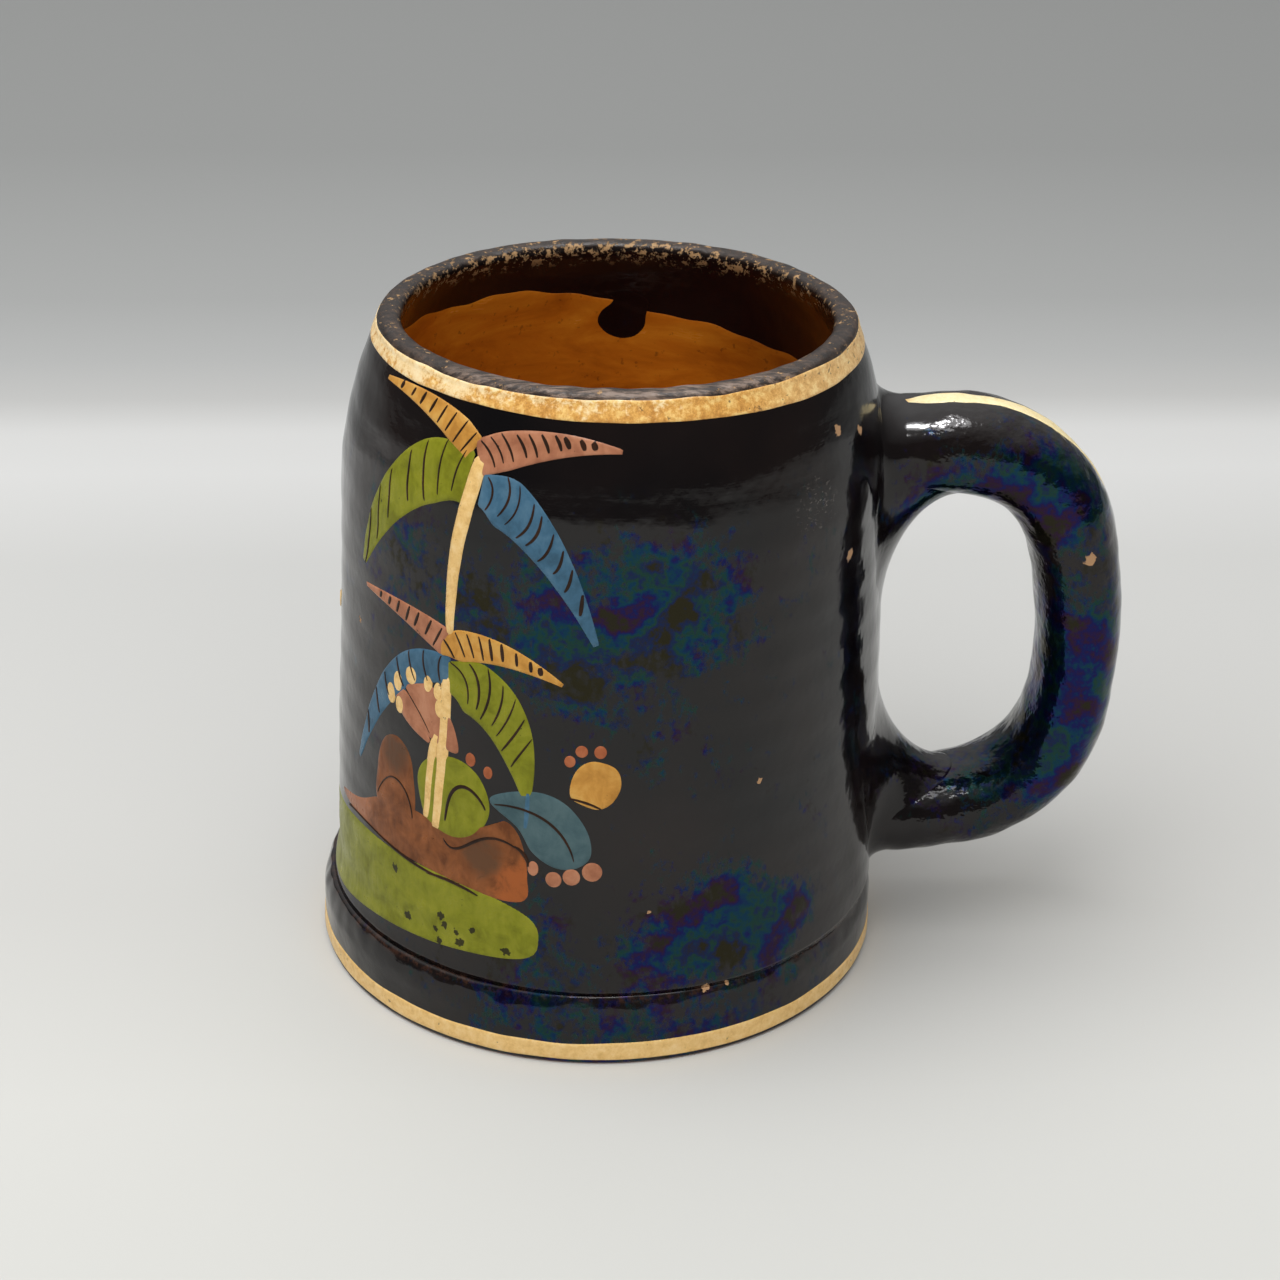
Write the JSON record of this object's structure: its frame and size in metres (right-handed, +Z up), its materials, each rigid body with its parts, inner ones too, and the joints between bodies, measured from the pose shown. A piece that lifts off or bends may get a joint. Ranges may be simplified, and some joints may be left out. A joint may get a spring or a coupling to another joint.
{
  "type": "clay mug",
  "caption": "Straight-sided glazed clay mug with a stepped foot disc, a shoulder drawn in to a rounded lip, and a luted ear handle with a finger gap, for hot drinks.",
  "frame": {"origin": "centre of the flat underside, on the axis of the cup", "axes": "+Z up along the cup's axis, +X towards the handle"},
  "size_m": [0.1334, 0.0948, 0.111],
  "materials": {
    "black_glaze": "glossy black-brown lead glaze with a faint iridescent bloom",
    "amber_glaze": "clear amber glaze over red clay",
    "painted_slip": "slip under a thin glaze: mottled cream lines, and brushwork in cream, ochre, salmon, green, blue and rust"
  },
  "bodies": {
    "root": {"foot_disc": "black_glaze", "wall": "black_glaze", "handle": "black_glaze", "handle_upper_joint": "black_glaze", "handle_lower_joint": "black_glaze", "inner_glaze": "amber_glaze", "rim_slip_line": "painted_slip", "foot_slip_line": "painted_slip", "handle_slip_line": "painted_slip"}
  },
  "joints": []
}
